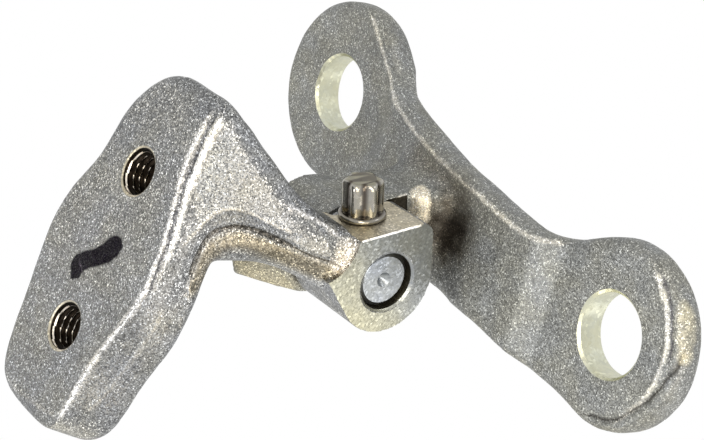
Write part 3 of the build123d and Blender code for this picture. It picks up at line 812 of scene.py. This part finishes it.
# %% [markdown]
# The two door holes are tapped M8 with the common 1.25 mm pitch. The thread is a sleeve whose wall
# follows the helix: its radius depends on the depth and on the turn. The flanks are painted black as
# shade, and the crests are painted bright as highlights.


# %% Threads
def sleeve(name, start, axis, rows, radius, back, count):
    """A closed sleeve: its inner wall has a radius for each depth and turn, its outer wall is plain."""
    side = axis.orthogonal().normalized()
    other = axis.cross(side)
    rings = [(depth, None) for depth in rows] + [(rows[-1], back), (rows[0], back)]
    verts = []
    for depth, plain in rings:
        for k in range(count):
            turn = 2 * pi * k / count
            r = plain or radius(depth, turn)
            verts.append(start + (axis * depth + (side * cos(turn) + other * sin(turn)) * r) * MM)
    faces = []
    for row in range(len(rings)):
        a = row * count
        b = (row + 1) % len(rings) * count
        for k in range(count):
            j = (k + 1) % count
            faces.append((a + k, b + k, b + j, a + j))
    return mesh_object(name, verts, faces)


THREAD_PITCH = 1.25
THREAD_MINOR_R = 3.4
THREAD_MAJOR_R = 4.0
THREAD_START = 0.3
THREAD_END = 9.0
LEAD_IN = 1.0
CREST_SHARE = 0.1
THREAD_STEP = THREAD_PITCH / 10
TURNS = 72


def m8_wall(depth, turn):
    """Radius of the thread's wall, opened out at the mouth."""
    phase = ((depth - THREAD_START) / THREAD_PITCH - turn / (2 * pi)) % 1.0
    rise = min(max((1 - abs(2 * phase - 1)) * 1.3 - 0.15, 0.0), 1.0)
    mouth = THREAD_MAJOR_R - (depth - THREAD_START) / LEAD_IN * (THREAD_MAJOR_R - THREAD_MINOR_R)
    return max(THREAD_MINOR_R + rise * (THREAD_MAJOR_R - THREAD_MINOR_R), mouth)


rows = list(np.arange(THREAD_START, THREAD_END, THREAD_STEP))
extras = []
for name, along in (("thread_high", HOLE_HIGH), ("thread_low", HOLE_HIGH - HOLE_PITCH)):
    wall = sleeve(name, at_door(DOOR_FACE, along, HOLE_Z), -AWAY, rows, m8_wall, TAP_R + 0.1, TURNS)
    wall.data.materials.append(thread_shade_zinc)
    wall.data.materials.append(crest_highlight_zinc)
    # the crest rows take a painted highlight, the rest painted black shade
    for face in wall.data.polygons:
        phase = face.index // TURNS * THREAD_STEP / THREAD_PITCH - (face.index % TURNS) / TURNS
        face.material_index = int(abs((phase + 0.5) % 1.0 - 0.5) < CREST_SHARE)
    extras.append((wall, "door", "forging"))
print("threads", len(rows), "rows")

# %% [markdown]
# The lock screw has a head with six lobes, pressed cold, so its edges are rolled over. Its collar is
# a thin rounded washer face in one piece with the head.

# %% Lock screw
LOBES = 6
LOBE_R = 3.5
ROOT_R = 2.85
# head rows: height above the eye's flat top, share of the full section, share of lobe
HEAD_ROWS = [(0.8, 1.0, 1.0), (5.6, 1.0, 1.0), (6.05, 0.985, 1.0), (6.4, 0.94, 0.95), (6.6, 0.87, 0.8),
             (6.7, 0.78, 0.6)]
COLLAR_ROWS = [(3.0, -7.9), (3.0, 0.0), (3.9, 0.0), (4.05, 0.25), (4.05, 0.5), (3.9, 0.75), (3.5, 0.9)]
COUNT = 96
verts = []
looks = []
for radius, height in COLLAR_ROWS:
    verts += [(radius, height, 2 * pi * k / COUNT) for k in range(COUNT)]
    # painted shade darkens the collar's foot and the corner below the head
    looks += [(0.3 if 0.0 < height < 0.9 else 0.0, height)] * COUNT
for height, share, lobe in HEAD_ROWS:
    for k in range(COUNT):
        turn = 2 * pi * k / COUNT
        wave = 0.5 + 0.5 * cos(LOBES * turn)
        verts.append((share * (ROOT_R + (LOBE_R - ROOT_R) * wave * lobe), height, turn))
        looks.append((wave, height))
screw_foot = at_eye(0, EYE_R, SCREW_Z)
across = UP.cross(TOP)
verts = [screw_foot + (TOP * h + (UP * cos(t) + across * sin(t)) * r) * MM for r, h, t in verts]
ring_count = len(COLLAR_ROWS) + len(HEAD_ROWS)
faces = [tuple(range(COUNT)), tuple(reversed(range((ring_count - 1) * COUNT, ring_count * COUNT)))]
for row in range(ring_count - 1):
    for k in range(COUNT):
        j = (k + 1) % COUNT
        faces.append((row * COUNT + j, row * COUNT + k, (row + 1) * COUNT + k, (row + 1) * COUNT + j))
screw = mesh_object("lock_screw_head", verts, faces)
# the flutes are painted dark as a painted reflection
keep(screw, "flute_far", [bright for bright, height in looks])
keep(screw, "crown_far", [HEAD_ROWS[-1][0] - height for bright, height in looks])
screw.data.materials.append(screw_zinc)
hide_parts("lock_screw")
extras.append((screw, "door", "screw"))
print("screw", len(screw.data.vertices), "points")

# %% [markdown]
# Every new piece rides on the body that carries it, so it turns with the door or stays on the pillar.

# %% Ride and finish the pieces
MILLED_AREA = 5.0
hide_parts("door_leaf")
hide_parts("pillar_leaf")
for item, body, slot in extras + [(door_skin, "door", "forging"), (pillar_skin, "pillar", "forging")]:
    item.data.shade_smooth()
    item.data.set_sharp_from_angle(angle=radians(40))
    # milled faces are flat and large
    for face in item.data.polygons:
        face.use_smooth = face.area < MILLED_AREA * MM ** 2
    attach(item, body)
for node, material in (("hinge_pin", pin_zinc), ("bush", bush_bronze)):
    nodes[node].data.materials.clear()
    nodes[node].data.materials.append(material)
